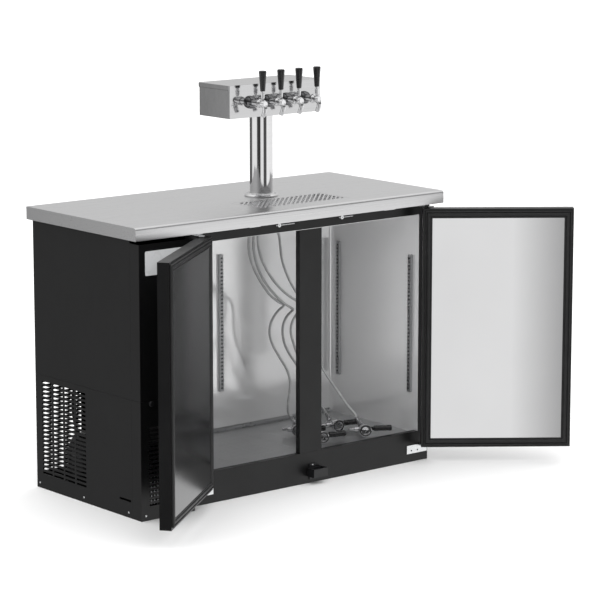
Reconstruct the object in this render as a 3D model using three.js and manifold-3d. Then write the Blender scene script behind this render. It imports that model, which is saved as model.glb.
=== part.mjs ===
// A two-door back-bar kegerator: a black refrigerated cabinet with a machine bay on its left, a stainless
// worktop, a four-tap beer tower, and four beer lines that end in keg couplers on the cabinet floor.
// Millimetres. +X is to the right of a person facing the doors, +Y is to the back, +Z is up.
// The origin is the middle of the footprint, on the floor. The doors rest fully open against their stops.
import * as THREE from "three";
import { mergeVertices } from "three/addons/utils/BufferGeometryUtils.js";
import Module from "manifold-3d";

const wasm = await Module();
wasm.setup();

// Driving dimensions
const GAP = 0.3; // between pieces that touch
const SHEET = 2.5; // folded outer panels
const TOP = { halfWidth: 635, halfDepth: 295, under: 882, level: 924, nose: 9 };
const CASE = { half: 617, back: 286, face: -244, top: 881.7 };
const BAY = { right: -409.3, front: -286.5, seam: 378, wrap: 47, top: 869 };
const ROOM = { left: -363, right: 571, back: 206, floor: 95, ceiling: 842 };
const LINER = 1.5;
const FRAME_DEPTH = 20; // depth of the sill, header and mullion behind the face
const SILL_TOP = 103;
const MULLION = { left: 55, right: 147 };
const DOOR = { width: 502, thick: 37, bottom: 59, top: 870, open: 142 };
const HINGE = { edge: 24, proud: 7, y: -284, leftX: -380, rightX: 582, pin: 4 };
const LEFT_PLATE = { lower: [-404, -305], upper: [-392, -340] }; // hinge plates on the cabinet face
const RIGHT_PLATE = { lower: [522, 612], upper: [542, 594] };
const GASKET = { inset: 8, width: 23.4, thick: 6 };
const TOWER = { x: 93, radius: 38, bore: 35, bottom: 1196.5, top: 1304, left: -102, right: 277, half: 81 };
const TAP = { count: 4, firstX: -17.5, pitch: 75.2, z: 1246, y: -146 };
const HANDLE_PIVOT = 19; // lever pivot above the tap's axis
const TRAY = { left: -90, right: 285, front: -225, back: -72, depth: 26 };
const GRATE_THICK = 2.2;
const SLOT_PITCH = 12.7; // shelf-support slots
const HOSE_RADIUS = 4.2;
const LINE_PORT_RADIUS = 42;

// Finishes: colour, roughness, metalness
const FINISH = {
  black: [0x17171a, 0.45, 0.1],
  blackPlastic: [0x121214, 0.5, 0],
  rubber: [0x1c1c1e, 0.75, 0],
  stainless: [0xc4c6c8, 0.3, 1],
  chrome: [0xdfe1e4, 0.1, 1],
  zinc: [0xc9ccd0, 0.35, 1],
  liner: [0xb9bcc0, 0.3, 1],
  hose: [0xa4a6a6, 0.35, 0],
  copper: [0x9a9ea3, 0.5, 0.8],
};

function materialOf(finish) {
  const [color, roughness, metalness] = FINISH[finish];
  return new THREE.MeshStandardMaterial({ color, roughness, metalness });
}

// A closed geometry as a manifold-3d solid, and back.
function solidOf(geometry) {
  const bare = geometry.clone();
  bare.deleteAttribute("normal");
  bare.deleteAttribute("uv");
  const merged = mergeVertices(bare, 1e-4);
  return new wasm.Manifold(
    new wasm.Mesh({
      numProp: 3,
      vertProperties: merged.attributes.position.array,
      triVerts: new Uint32Array(merged.index.array),
    }),
  );
}

function geometryOf(solid) {
  const mesh = solid.getMesh();
  const geometry = new THREE.BufferGeometry();
  geometry.setAttribute("position", new THREE.BufferAttribute(mesh.vertProperties, 3));
  geometry.setIndex(new THREE.BufferAttribute(mesh.triVerts, 1));
  geometry.computeVertexNormals();
  return geometry;
}

function joined(...geometries) {
  return geometryOf(geometries.map(solidOf).reduce((whole, piece) => whole.add(piece)));
}

function cut(geometry, ...tools) {
  return geometryOf(tools.map(solidOf).reduce((whole, tool) => whole.subtract(tool), solidOf(geometry)));
}

// Basic shapes
function slab([x0, x1], [y0, y1], [z0, z1]) {
  const box = new THREE.BoxGeometry(x1 - x0, y1 - y0, z1 - z0);
  return box.translate((x0 + x1) / 2, (y0 + y1) / 2, (z0 + z1) / 2);
}

function outline(points) {
  return new THREE.Shape(points.map(([x, y]) => new THREE.Vector2(x, y)));
}

// A plan outline raised between two heights.
function prism(points, z0, z1) {
  const body = new THREE.ExtrudeGeometry(outline(points), { depth: z1 - z0, bevelEnabled: false });
  return body.translate(0, 0, z0);
}

// A side outline, [y, z] points, run between two x positions.
function rail(points, x0, x1) {
  const bar = new THREE.ExtrudeGeometry(outline(points), { depth: x1 - x0, bevelEnabled: false });
  return bar.applyMatrix4(new THREE.Matrix4().set(0, 0, 1, x0, 1, 0, 0, 0, 0, 1, 0, 0, 0, 0, 0, 1));
}

// A turned piece on the Z axis from [radius, height] points.
function turned(points, sides = 12) {
  const lathe = new THREE.LatheGeometry(
    points.map(([radius, height]) => new THREE.Vector2(radius, height)),
    sides,
  );
  return lathe.rotateX(Math.PI / 2);
}

function rod(radius, z0, z1, sides = 12) {
  return turned([[0, z0], [radius, z0], [radius, z1], [0, z1]], sides);
}

const alongX = (geometry) => geometry.rotateY(Math.PI / 2);
const alongY = (geometry) => geometry.rotateX(-Math.PI / 2);

function mesh(name, finish, geometry) {
  const piece = new THREE.Mesh(geometry, materialOf(finish));
  piece.name = name;
  return piece;
}

function placed(x, y, z, ...children) {
  const group = new THREE.Group();
  group.position.set(x, y, z);
  group.add(...children);
  return group;
}

// The notch that the full-width sill takes out of its neighbours.
function sillTool() {
  const depth = [CASE.face - 1, CASE.face + FRAME_DEPTH + GAP];
  return slab([-CASE.half, CASE.half + 1], depth, [-1, SILL_TOP + GAP]);
}

// Worktop: a rolled front edge, a well for the drip tray and a hole under the tower
function worktop() {
  const { halfDepth, under, level, nose } = TOP;
  const profile = [[halfDepth, under], [halfDepth, level], [-halfDepth + nose, level]];
  for (const angle of [30, 60, 90]) {
    const turn = THREE.MathUtils.degToRad(angle);
    profile.push([-halfDepth + nose - nose * Math.sin(turn), level - nose + nose * Math.cos(turn)]);
  }
  profile.push([-halfDepth, under]);
  const body = rail(profile, -TOP.halfWidth, TOP.halfWidth);
  const well = slab([TRAY.left, TRAY.right], [TRAY.front, TRAY.back], [level - TRAY.depth, level + 1]);
  const hole = rod(TOWER.bore, under - 1, level + 1, 20).translate(TOWER.x, 0, 0);
  return mesh("worktop", "stainless", cut(body, well, hole));
}

function dripTray() {
  const wall = 1.5;
  const bottom = TOP.level - TRAY.depth + GAP;
  const rim = TOP.level - GRATE_THICK - 2 * GAP;
  const pan = slab([TRAY.left + GAP, TRAY.right - GAP], [TRAY.front + GAP, TRAY.back - GAP], [bottom, rim]);
  const inset = GAP + wall;
  const inside = slab(
    [TRAY.left + inset, TRAY.right - inset],
    [TRAY.front + inset, TRAY.back - inset],
    [bottom + wall, rim + 1],
  );
  return mesh("drip_tray", "stainless", cut(pan, inside));
}

// Grate: diagonal slots, each clipped to a plain border
function dripGrate() {
  const edge = 0.8;
  const border = 10;
  const slot = { pitch: 19, width: 8, slant: 44 };
  const z1 = TOP.level - GAP;
  const plate = slab(
    [TRAY.left + edge, TRAY.right - edge],
    [TRAY.front + edge, TRAY.back - edge],
    [z1 - GRATE_THICK, z1],
  );
  const width = TRAY.right - TRAY.left - 2 * border;
  const depth = TRAY.back - TRAY.front - 2 * border;
  const lean = depth * Math.tan(THREE.MathUtils.degToRad(slot.slant));
  const half = slot.width / 2 / Math.cos(THREE.MathUtils.degToRad(slot.slant));
  const window = solidOf(slab(
    [TRAY.left + border, TRAY.right - border],
    [TRAY.front + border, TRAY.back - border],
    [0, 2 * TOP.level],
  ));
  let solid = solidOf(plate);
  for (let x = -lean + slot.pitch / 2; x < width; x += slot.pitch) {
    const x0 = TRAY.left + border + x;
    const y0 = TRAY.front + border;
    const strip = prism(
      [[x0 - half, y0], [x0 + half, y0], [x0 + half + lean, y0 + depth], [x0 - half + lean, y0 + depth]],
      z1 - GRATE_THICK - 1,
      z1 + 1,
    );
    solid = solid.subtract(solidOf(strip).intersect(window));
  }
  return mesh("drip_grate", "stainless", geometryOf(solid));
}

// Insulated cold box
function wallFloor() {
  const slabTop = ROOM.floor - LINER - GAP;
  const sillBack = CASE.face + FRAME_DEPTH;
  const base = slab([ROOM.left - LINER, ROOM.right + LINER], [sillBack - 1, ROOM.back + LINER], [0, slabTop]);
  const sill = slab([BAY.right + GAP, CASE.half], [CASE.face, sillBack], [0, SILL_TOP]);
  return mesh("wall_floor", "black", joined(base, sill));
}

function wallSide(name, x0, x1) {
  return mesh(name, "black", cut(slab([x0, x1], [CASE.face, CASE.back], [0, CASE.top]), sillTool()));
}

function wallRear() {
  const span = [ROOM.left - LINER, ROOM.right + LINER];
  return mesh("wall_rear", "black", slab(span, [ROOM.back + LINER + GAP, CASE.back], [0, CASE.top]));
}

function wallCeiling() {
  const span = [ROOM.left - LINER, ROOM.right + LINER];
  const under = ROOM.ceiling + LINER + GAP;
  const body = slab(span, [CASE.face, ROOM.back + LINER], [under, CASE.top]);
  const port = rod(LINE_PORT_RADIUS, under - 1, CASE.top + 1, 20).translate(TOWER.x, 0, 0);
  return mesh("wall_ceiling", "black", cut(body, port));
}

function mullion() {
  const depth = [CASE.face, CASE.face + FRAME_DEPTH];
  const height = [SILL_TOP + GAP, ROOM.ceiling - GAP];
  return mesh("mullion", "black", slab([MULLION.left, MULLION.right], depth, height));
}

// One folded tub of bright sheet, open at the front, with the port for the beer lines
function interiorLiner() {
  const front = CASE.face + GAP;
  const skin = LINER - GAP; // stops short of the insulated walls
  const outer = slab(
    [ROOM.left - skin, ROOM.right + skin],
    [front, ROOM.back + skin],
    [ROOM.floor - skin, ROOM.ceiling + skin],
  );
  const inner = slab([ROOM.left, ROOM.right], [front - 1, ROOM.back], [ROOM.floor, ROOM.ceiling]);
  const port = rod(LINE_PORT_RADIUS, ROOM.ceiling - 1, ROOM.ceiling + LINER + 1, 20).translate(TOWER.x, 0, 0);
  return mesh("interior_liner", "liner", cut(outer, inner, sillTool(), port));
}

// Shelf-support strip with a ladder of slots, its face towards -Y in its own frame
function pilaster(name, x, y, turn) {
  const strip = { half: 8, depth: 9, bottom: 233, top: 702 };
  const slot = { half: 4.5, high: 6 };
  const face = -GAP - strip.depth;
  const bar = slab([-strip.half, strip.half], [face, -GAP], [strip.bottom, strip.top]);
  const slots = [];
  for (let z = strip.bottom + SLOT_PITCH; z < strip.top - slot.high; z += SLOT_PITCH) {
    slots.push(slab([-slot.half, slot.half], [face - 1, 0], [z - slot.high / 2, z + slot.high / 2]));
  }
  const piece = mesh(name, "liner", cut(bar, ...slots));
  piece.position.set(x, y, 0);
  piece.rotation.z = turn;
  return piece;
}

// Machine bay
function rows(count, pitch, start) {
  return Array.from({ length: count }, (_, i) => start + i * pitch);
}

// Rows of slots, shared by the side vent and the rear grille
const VENT = { rows: 22, bottom: 54, step: 14.3, high: 7 };

function ventRows(slotAt) {
  return rows(VENT.rows, VENT.step, VENT.bottom).map((z) => slotAt([z - VENT.high / 2, z + VENT.high / 2]));
}

function baySidePanel() {
  const wrapEnd = BAY.front + BAY.wrap;
  const body = slab([-CASE.half, -CASE.half + SHEET], [wrapEnd + GAP, CASE.back], [BAY.seam + GAP, CASE.top]);
  return mesh("bay_side_panel", "black", body);
}

function bayVentPanel() {
  const column = { count: 4, first: 8, wide: 54, pitch: 63 };
  const hang = { y: [-232, -172], z: [51, 58] }; // slot that hooks the panel on
  const through = [-CASE.half - 1, -CASE.half + SHEET + 1];
  const depth = [BAY.front + BAY.wrap + GAP, CASE.back];
  const body = slab([-CASE.half, -CASE.half + SHEET], depth, [0, BAY.seam - GAP]);
  const slots = rows(column.count, column.pitch, column.first).flatMap((y) =>
    ventRows((height) => slab(through, [y, y + column.wide], height)),
  );
  return mesh("bay_vent_panel", "black", cut(body, slab(through, hang.y, hang.z), ...slots));
}

// The front panel and the grille below it fold back round the left corner.
function cornerPlan() {
  const wrapEnd = BAY.front + BAY.wrap;
  return [
    [-CASE.half, BAY.front], [BAY.right, BAY.front], [BAY.right, BAY.front + SHEET],
    [-CASE.half + SHEET, BAY.front + SHEET], [-CASE.half + SHEET, wrapEnd], [-CASE.half, wrapEnd],
  ];
}

function bayFrontPanel() {
  return mesh("bay_front_panel", "black", prism(cornerPlan(), BAY.seam + GAP, BAY.top));
}

function bayFrontGrille() {
  const louvre = { rows: 18, bottom: 48, step: 14.3, high: 7, left: -585, right: -430 };
  const through = [BAY.front - 1, BAY.front + SHEET + 1];
  const body = prism(cornerPlan(), 0, BAY.seam - GAP);
  const slots = rows(louvre.rows, louvre.step, louvre.bottom).map((z) =>
    slab([louvre.left, louvre.right], through, [z - louvre.high / 2, z + louvre.high / 2]),
  );
  return mesh("bay_front_grille", "black", cut(body, ...slots));
}

function bayBase() {
  const inset = SHEET + GAP;
  const body = slab([-CASE.half + inset, BAY.right], [BAY.front + inset, CASE.back - inset], [0, 14]);
  return mesh("bay_base", "black", body);
}

function bayRearGrille() {
  const wide = [-590, -440];
  const through = [CASE.back - SHEET - 1, CASE.back + 1];
  const body = slab([-CASE.half + SHEET + GAP, BAY.right], [CASE.back - SHEET, CASE.back], [0, CASE.top]);
  return mesh("bay_rear_grille", "black", cut(body, ...ventRows((height) => slab(wide, through, height))));
}

function powerGland() {
  const gland = alongY(turned([[0, 0], [14, 0], [14, 3], [9, 4], [8, 8], [0, 8]]));
  return placed(-440, CASE.back + GAP, 45, mesh("power_gland", "blackPlastic", gland));
}

function compressor() {
  const dome = turned([[0, 0], [82, 0], [82, 10], [74, 16], [76, 120], [64, 160], [34, 178], [0, 182]], 20);
  return placed(-512, 130, 14 + GAP, mesh("compressor", "black", dome));
}

// Finned block with a fan ring on its back and a motor on a crossbar
function condenser() {
  const fins = { count: 14, pitch: 12.4, thick: 5, deep: 34 };
  const points = [[0, 0]];
  for (let i = 0; i < fins.count; i += 1) {
    points.push([i * fins.pitch, -fins.deep], [i * fins.pitch + fins.thick, -fins.deep]);
    points.push([i * fins.pitch + fins.thick, 0], [(i + 1) * fins.pitch, 0]);
  }
  points.splice(points.length - 1, 1);
  const right = points[points.length - 1][0];
  points.push([right, 8], [0, 8]);
  const comb = prism(points.slice(1), 0, 200).translate(-right / 2, 0, 0);
  const ring = alongY(turned([[80, 6], [84, 6], [84, 44], [80, 44], [80, 6]], 20)).translate(0, 0, 100);
  const bar = slab([-82, 82], [38, 42], [94, 106]);
  const motor = alongY(rod(24, 34, 74)).translate(0, 0, 100);
  const opening = alongY(rod(80, -1, 9, 20)).translate(0, 0, 100);
  const body = joined(cut(comb, opening.clone().translate(0, 1, 0)), ring, bar, motor);
  return placed(-512, -238, 30, mesh("condenser", "copper", body));
}

// A hub with pitched blades, turning on its own Z axis
function fanGeometry(radius, hub, count) {
  const blades = [];
  for (let i = 0; i < count; i += 1) {
    const blade = slab([hub - 3, radius], [-radius * 0.22, radius * 0.22], [-1, 1]);
    blades.push(blade.rotateX(0.45).rotateZ((i / count) * 2 * Math.PI));
  }
  return joined(rod(hub, -9, 9), ...blades);
}

function condenserFan() {
  const fan = mesh("condenser_fan", "blackPlastic", alongY(fanGeometry(76, 20, 5)));
  return placed(-512, -238 + 22, 130, fan);
}

const EVAPORATOR = {
  x0: ROOM.left + GAP, x1: -292, y: 20, z: 690, halfY: 140, halfZ: 120, bore: 64, deep: 34,
};

function evaporator() {
  const { x0, x1, y, z, halfY, halfZ, bore, deep } = EVAPORATOR;
  const body = slab([x0, x1], [y - halfY, y + halfY], [z - halfZ, z + halfZ]);
  const well = alongX(rod(bore, x1 - deep, x1 + 1, 20)).translate(0, y, z);
  return mesh("evaporator", "liner", cut(body, well));
}

function evaporatorFan() {
  const { x1, y, z, deep } = EVAPORATOR;
  return placed(x1 - deep / 2, y, z, mesh("evaporator_fan", "blackPlastic", alongX(fanGeometry(58, 16, 5))));
}

// Thermostat housing with a rocker switch in its pocket
const CONTROLLER = { x: -500, z: 345, halfX: 44, halfZ: 20, deep: 14 };

function controller() {
  const { halfX, halfZ, deep } = CONTROLLER;
  const body = slab([-halfX, halfX], [0, deep], [-halfZ, halfZ]);
  const pocket = slab([20, 38], [-1, 11.5], [-12, 12]);
  return mesh("controller", "blackPlastic", cut(body, pocket));
}

// Rocker: a shallow vee whose lower half stands out when it is on
function powerSwitch() {
  const side = [[3.5, 10.5], [3.5, -10.5], [-4.2, -10.5], [-2.6, 0], [1.2, 10.5]];
  const rocker = rail(side, -7.5, 7.5);
  return placed(29, 4, 0, mesh("power_switch", "blackPlastic", rocker));
}

// Doors, drawn closed in a frame whose Z axis is the hinge; hand is +1 for left-hung, -1 for right-hung
function doorSpan(hand, inset) {
  const near = -HINGE.edge + inset;
  const far = DOOR.width - HINGE.edge - inset;
  return hand > 0 ? [near, far] : [-far, -near];
}

function doorShell(side, hand) {
  const inner = DOOR.thick - HINGE.proud;
  const grip = { from: 429, to: 461, bottom: 560, top: 720, deep: 20 };
  const body = slab(doorSpan(hand, 0), [-HINGE.proud, inner], [DOOR.bottom, DOOR.top]);
  const gripX = hand > 0 ? [grip.from, grip.to] : [-grip.to, -grip.from];
  const pocket = slab(gripX, [-HINGE.proud - 1, -HINGE.proud + grip.deep], [grip.bottom, grip.top]);
  const lower = rod(HINGE.pin + 0.6, DOOR.bottom - 1, DOOR.bottom + 14, 8);
  const upper = rod(HINGE.pin + 0.6, DOOR.top - 14, DOOR.top + 1, 8);
  return mesh(side + "_door_shell", "black", cut(body, pocket, lower, upper));
}

function doorGasket(side, hand) {
  const y0 = DOOR.thick - HINGE.proud + GAP;
  const y1 = y0 + GASKET.thick;
  const z = [DOOR.bottom + GASKET.inset, DOOR.top - GASKET.inset];
  const ring = slab(doorSpan(hand, GASKET.inset), [y0, y1], z);
  const inner = GASKET.inset + GASKET.width;
  const window = slab(doorSpan(hand, inner), [y0 - 1, y1 + 1], [DOOR.bottom + inner, DOOR.top - inner]);
  return mesh(side + "_door_gasket", "rubber", cut(ring, window));
}

function doorLiner(side, hand) {
  const inset = GASKET.inset + GASKET.width + GAP;
  const y0 = DOOR.thick - HINGE.proud + GAP;
  const panel = slab(doorSpan(hand, inset), [y0, y0 + 2], [DOOR.bottom + inset, DOOR.top - inset]);
  return mesh(side + "_door_liner", "liner", panel);
}

function door(side, hand) {
  const leaf = placed(
    hand > 0 ? HINGE.leftX : HINGE.rightX, HINGE.y, 0,
    doorShell(side, hand), doorGasket(side, hand), doorLiner(side, hand),
  );
  leaf.rotation.z = -hand * THREE.MathUtils.degToRad(DOOR.open);
  return leaf;
}

// Hinge bracket: a screwed plate on the cabinet face, a tab over or under the door, and the pin
function hingeBracket(name, pivotX, plateX, holesX, upper) {
  const thick = 3;
  const clear = 1.5; // between the tab and the door
  const pinReach = 12; // how far the pin goes into the door
  const y1 = CASE.face - GAP;
  const tab = slab(
    [pivotX - 12, pivotX + 12],
    [HINGE.y - 9, y1],
    upper ? [DOOR.top + clear, DOOR.top + clear + thick] : [DOOR.bottom - clear - thick, DOOR.bottom - clear],
  );
  const plateZ = upper ? [DOOR.top + clear, CASE.top - 0.7] : [DOOR.bottom - 30, DOOR.bottom - clear];
  const plate = slab(plateX, [y1 - thick, y1], plateZ);
  const pinZ = upper
    ? [DOOR.top - pinReach, DOOR.top + clear + thick]
    : [DOOR.bottom - clear - thick, DOOR.bottom + pinReach];
  const pin = rod(HINGE.pin, pinZ[0], pinZ[1], 8).translate(pivotX, HINGE.y, 0);
  const holes = holesX.map((x) =>
    alongY(rod(3, -1, 8, 8)).translate(x, y1 - thick - 1, DOOR.bottom - 20),
  );
  return mesh(name, "zinc", cut(joined(plate, tab, pin), ...holes));
}

function lockKeeper() {
  const y1 = CASE.face - GAP;
  const plate = slab([94, 120], [y1 - 3, y1], [12, 64]);
  const block = slab([84, 143], [y1 - 38, y1 - 2], [24, 52]);
  const slot = slab([92, 135], [y1 - 32, y1 - 10], [40, 53]);
  return mesh("lock_keeper", "blackPlastic", cut(joined(plate, block), slot));
}

// Beer tower
function towerColumn() {
  const { radius, bore, bottom } = TOWER;
  const z0 = TOP.level + GAP;
  const profile = [
    [bore, z0], [56, z0], [56, z0 + 4], [51, z0 + 8], [41, z0 + 9], [radius, z0 + 13],
    [radius, bottom - GAP], [bore, bottom - GAP], [bore, z0],
  ];
  return placed(TOWER.x, 0, 0, mesh("tower_column", "chrome", turned(profile, 24)));
}

function tapX(i) {
  return TAP.firstX + i * TAP.pitch;
}

// The head is a hollow box with a lipped lid and a hole for each tap shank
function towerHead() {
  const { left, right, half, bottom, top, bore } = TOWER;
  const wall = 2;
  const lip = 16;
  const lidTop = top - 1.5;
  const box = slab([left + wall, right - wall], [-half + wall, half - wall], [bottom, lidTop]);
  const lid = slab([left, right], [-half, half], [top - lip, top]);
  const front = slab([left + wall, right - wall], [-half, -half + 3], [bottom, top - 1]);
  const cavity = slab(
    [left + 2 * wall, right - 2 * wall],
    [-half + 2 * wall, half - 2 * wall],
    [bottom + wall, top - 2 * wall],
  );
  const port = rod(bore, bottom - 1, bottom + wall + 1, 20).translate(TOWER.x, 0, 0);
  const shanks = rows(TAP.count, 1, 0).map((i) =>
    alongY(rod(11.5, -half - 1, -half + 8)).translate(tapX(i), 0, TAP.z),
  );
  return mesh("tower_head", "stainless", cut(joined(box, lid, front), cavity, port, ...shanks));
}

// Tap: shank through the head, flange collar, valve barrel and a down-turned spout
function faucet(i) {
  const face = -TOWER.half;
  const shank = alongY(rod(10.5, face - 60, face + 30));
  const collar = alongY(turned([[0, 0], [15, 0], [20, 4], [21, 10], [21, 12.5 - GAP], [0, 12.5 - GAP]]));
  const barrel = alongY(turned([[0, 0], [9, 0], [11, 3], [11, 24], [14, 27], [14, 38], [0, 38]]));
  const neck = turned([[0, -8], [9, -8], [10, 4], [8, 12], [0, 12]], 10);
  const spout = turned([[0, 0], [6.5, 0], [8.5, 12], [8, 40], [0, 40]], 10).rotateX(0.28);
  const body = joined(
    shank,
    collar.translate(0, face - 12.5, 0),
    barrel.translate(0, TAP.y - 14, 0),
    neck.translate(0, TAP.y, 0),
    spout.translate(0, TAP.y - 2, -39.5),
  );
  return placed(tapX(i), 0, TAP.z, mesh("faucet_" + (i + 1), "chrome", body));
}

// Lever: a bright ferrule under a tapered black grip; its round foot rocks about the pivot above the valve
function tapHandle(i) {
  const body = turned([
    [0, -6], [4.2, -4.2], [6, 0], [6.5, 14], [5, 15], [5, 21], [8, 22], [12.4, 84], [11.2, 87.5], [0, 87.5],
  ], 12);
  return placed(tapX(i), TAP.y, TAP.z + HANDLE_PIVOT, mesh("tap_handle_" + (i + 1), "blackPlastic", body));
}

// Keg couplers lie on the floor; each is turned about Z so that its open ring faces the doorway
const COUPLERS = [
  { x: 222, y: -34, face: 235 },
  { x: 373, y: -67, face: 255 },
  { x: 221, y: -167, face: 255 },
  { x: 395, y: -180, face: 240 },
];
const COUPLER = { radius: 22, length: 74, tailY: 62, tailLean: 30, tailLength: 42, pivotY: 34 };

// Drawn with the ring at the origin, the body along +Y and the lever along +X
function coupler(i) {
  const c = COUPLER;
  const barrel = alongY(turned([
    [0, 6], [13, 6], [13, 0], [c.radius, 0], [c.radius, 9], [17, 12], [15, 24],
    [16, 56], [12, 60], [12, c.length], [0, c.length],
  ], 14));
  const stub = alongX(turned([
    [0, -52], [5, -52], [6, -49], [5, -46], [5, -34], [9, -33], [9, -12], [0, -12],
  ], 8));
  const lean = THREE.MathUtils.degToRad(-c.tailLean);
  const tail = turned([
    [0, 0], [8, 0], [8, 20], [6.5, 22], [6.5, c.tailLength - GAP], [0, c.tailLength - GAP],
  ], 8);
  const body = joined(barrel, stub.translate(0, 30, 0), tail.rotateY(lean).translate(0, c.tailY, 0));
  const slot = slab([2, 30], [c.pivotY - 16, c.pivotY + 16], [-7, 7]);
  return mesh("coupler_" + (i + 1), "chrome", cut(body, slot));
}

function couplerLever(i) {
  const arm = slab([-6, 26], [-4, 4], [-5.5, 5.5]);
  const grip = alongX(turned([[0, 22], [7, 22], [10, 27], [9, 60], [10.5, 80], [7, 85], [0, 85]], 10));
  return placed(11, COUPLER.pivotY, 0, mesh("coupler_lever_" + (i + 1), "blackPlastic", joined(arm, grip)));
}

function couplerSet(i) {
  const { x, y, face } = COUPLERS[i];
  const set = placed(x, y, ROOM.floor + GAP + COUPLER.radius, coupler(i), couplerLever(i));
  set.rotation.z = THREE.MathUtils.degToRad(face + 90);
  return set;
}

// Beer lines: from the port under the tower, a hanging turn, then down to the tail of a coupler
const LINES = [
  [
    [70, 19, 878], [69, 20, 840], [63, 26, 795], [62, 29, 750], [70, 28, 708], [85, 20, 664],
    [106, 9, 621], [131, 0, 585], [160, -3, 563], [188, 6, 549], [208, 27, 537], [213, 54, 520],
    [206, 74, 495], [196, 82, 465], [191, 79, 433], [197, 69, 397], [213, 52, 355], [229, 36, 317],
    [237, 27, 275], [234, 27, 235], [230, 29, 198],
  ],
  [
    [81, 10, 878], [80, 11, 840], [73, 17, 790], [74, 18, 747], [82, 16, 704], [97, 10, 659],
    [120, 0, 617], [148, -9, 582], [180, -13, 554], [210, -8, 537], [234, 8, 525], [245, 33, 511],
    [246, 56, 492], [241, 68, 462], [240, 70, 430], [245, 66, 398], [256, 59, 368], [275, 48, 333],
    [299, 35, 288], [324, 20, 240], [345, 8, 198],
  ],
  [
    [91, 1, 878], [90, 2, 840], [83, 6, 790], [85, 4, 746], [95, -4, 702], [116, -17, 656],
    [144, -34, 613], [175, -47, 584], [206, -52, 564], [234, -46, 549], [252, -28, 535], [256, -4, 520],
    [251, 15, 500], [243, 26, 472], [240, 26, 440], [241, 14, 408], [241, -8, 368], [235, -34, 320],
    [226, -60, 270], [213, -84, 225], [202, -97, 192],
  ],
  [
    [115, -17, 878], [117, -18, 840], [139, -34, 792], [143, -37, 755], [148, -38, 714],
    [159, -44, 671], [177, -51, 629], [200, -58, 590], [225, -62, 560], [248, -61, 534],
    [266, -55, 505], [276, -49, 475], [281, -46, 442], [287, -46, 403], [296, -49, 361],
    [312, -57, 320], [335, -70, 278], [361, -87, 231], [381, -99, 196],
  ],
];

// The last point of each line is the open end of its coupler's tail, reached along the tail.
function tailEnd(i) {
  const { x, y, face } = COUPLERS[i];
  const lean = THREE.MathUtils.degToRad(COUPLER.tailLean);
  const turn = THREE.MathUtils.degToRad(face + 90);
  const local = new THREE.Vector3(-Math.sin(lean), 0, Math.cos(lean));
  const base = new THREE.Vector3(0, COUPLER.tailY, 0).applyAxisAngle(new THREE.Vector3(0, 0, 1), turn);
  const along = local.applyAxisAngle(new THREE.Vector3(0, 0, 1), turn);
  base.add(new THREE.Vector3(x, y, ROOM.floor + GAP + COUPLER.radius));
  const reaches = [COUPLER.tailLength + 14, COUPLER.tailLength];
  return reaches.map((reach) => base.clone().addScaledVector(along, reach));
}

function beerLine(i) {
  const points = LINES[i].map(([x, y, z]) => new THREE.Vector3(x, y, z));
  const path = new THREE.CatmullRomCurve3([...points, ...tailEnd(i)]);
  const section = new THREE.Shape(rows(8, 45, 22.5).map((angle) => {
    const turn = THREE.MathUtils.degToRad(angle);
    return new THREE.Vector2(HOSE_RADIUS * Math.cos(turn), HOSE_RADIUS * Math.sin(turn));
  }));
  const tube = new THREE.ExtrudeGeometry(section, { steps: 32, extrudePath: path, bevelEnabled: false });
  return mesh("beer_line_" + (i + 1), "hose", tube);
}

const kegerator = new THREE.Group();
kegerator.add(worktop(), dripTray(), dripGrate());
kegerator.add(wallFloor(), wallRear(), wallCeiling(), mullion(), interiorLiner());
kegerator.add(wallSide("wall_right", ROOM.right + LINER + GAP, CASE.half));
kegerator.add(wallSide("wall_divider", BAY.right + GAP, ROOM.left - LINER - GAP));
kegerator.add(pilaster("pilaster_rear", 79, ROOM.back, 0));
kegerator.add(pilaster("pilaster_right_rear", ROOM.right, 163, -Math.PI / 2));
kegerator.add(pilaster("pilaster_right_front", ROOM.right, -207, -Math.PI / 2));
kegerator.add(baySidePanel(), bayVentPanel(), bayFrontPanel(), bayFrontGrille(), bayBase(), bayRearGrille());
kegerator.add(powerGland(), compressor(), condenser(), condenserFan(), evaporator(), evaporatorFan());
const controllerY = BAY.front - GAP - CONTROLLER.deep;
kegerator.add(placed(CONTROLLER.x, controllerY, CONTROLLER.z, controller(), powerSwitch()));
kegerator.add(door("left", 1), door("right", -1));
kegerator.add(hingeBracket("left_hinge_lower", HINGE.leftX, LEFT_PLATE.lower, [-352, -325], false));
kegerator.add(hingeBracket("left_hinge_upper", HINGE.leftX, LEFT_PLATE.upper, [], true));
kegerator.add(hingeBracket("right_hinge_lower", HINGE.rightX, RIGHT_PLATE.lower, [542, 569], false));
kegerator.add(hingeBracket("right_hinge_upper", HINGE.rightX, RIGHT_PLATE.upper, [], true));
kegerator.add(lockKeeper(), towerColumn(), towerHead());
for (let i = 0; i < TAP.count; i += 1) {
  kegerator.add(faucet(i), tapHandle(i), couplerSet(i), beerLine(i));
}

export default kegerator;
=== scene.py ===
import math

import bmesh
import bpy
from mathutils import Matrix, Vector


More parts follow.
